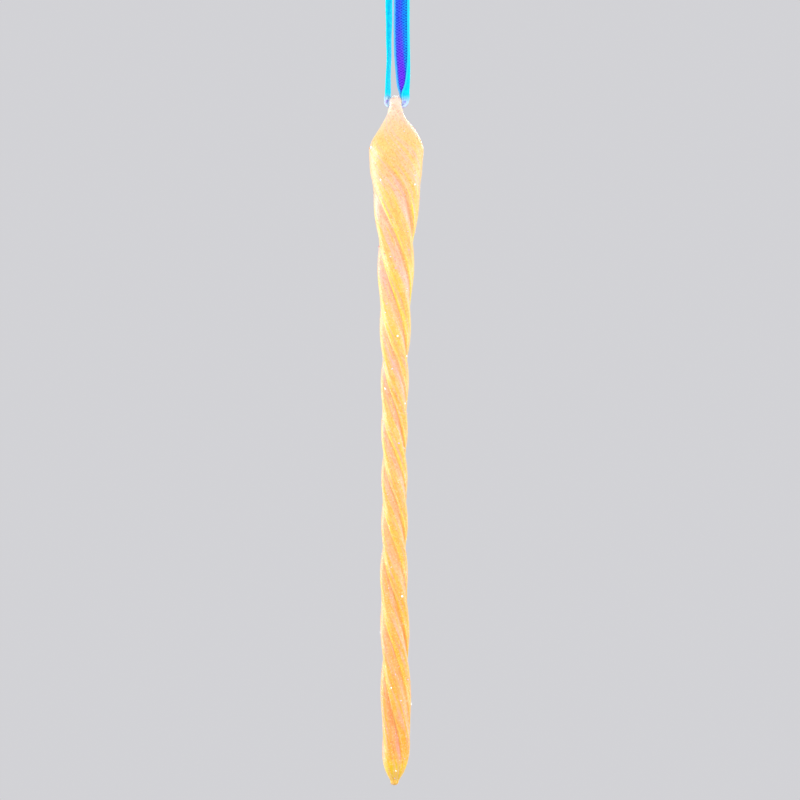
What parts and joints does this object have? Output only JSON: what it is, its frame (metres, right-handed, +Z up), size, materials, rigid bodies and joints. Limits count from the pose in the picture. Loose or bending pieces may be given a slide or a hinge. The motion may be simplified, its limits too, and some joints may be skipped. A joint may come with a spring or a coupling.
{
  "type": "hanging icicle ornament",
  "caption": "Slender twisted glass icicle with a fluted, glittered surface and a pierced eye, hung from a knotted loop of narrow sheer ribbon.",
  "frame": {"origin": "where a hook holds the ribbon loop, just under its knot", "axes": "+Z up along the hanging axis, away from the icicle; +X to the right, along the hole in the icicle's eye; +Y away from the viewer"},
  "size_m": [0.018, 0.0182, 0.3251],
  "materials": {
    "glittered_glass": "fine gold glitter over glass",
    "organza_ribbon": "sheer organza with bright selvedges"
  },
  "bodies": {
    "hanger": {"ribbon_knot": "organza_ribbon", "ribbon_tail_left": "organza_ribbon", "ribbon_tail_right": "organza_ribbon", "ribbon_top_left": "organza_ribbon", "ribbon_top_right": "organza_ribbon"},
    "loop": {"ribbon_strand_left": "organza_ribbon", "ribbon_strand_right": "organza_ribbon", "ribbon_bight": "organza_ribbon"},
    "icicle": {"glass_icicle": "glittered_glass", "glass_eye": "glittered_glass"}
  },
  "joints": [
    {"name": "ribbon_twist", "type": "hinge", "parent": "hanger", "child": "loop", "pos_m": [0, 0, -0.02], "axis": [0, 0, 1], "range_deg": [-180, 180]},
    {"name": "eye_swing", "type": "hinge", "parent": "loop", "child": "icicle", "pos_m": [0, 0, -0.075], "axis": [1, 0, 0], "range_deg": [-90, 90]}
  ]
}
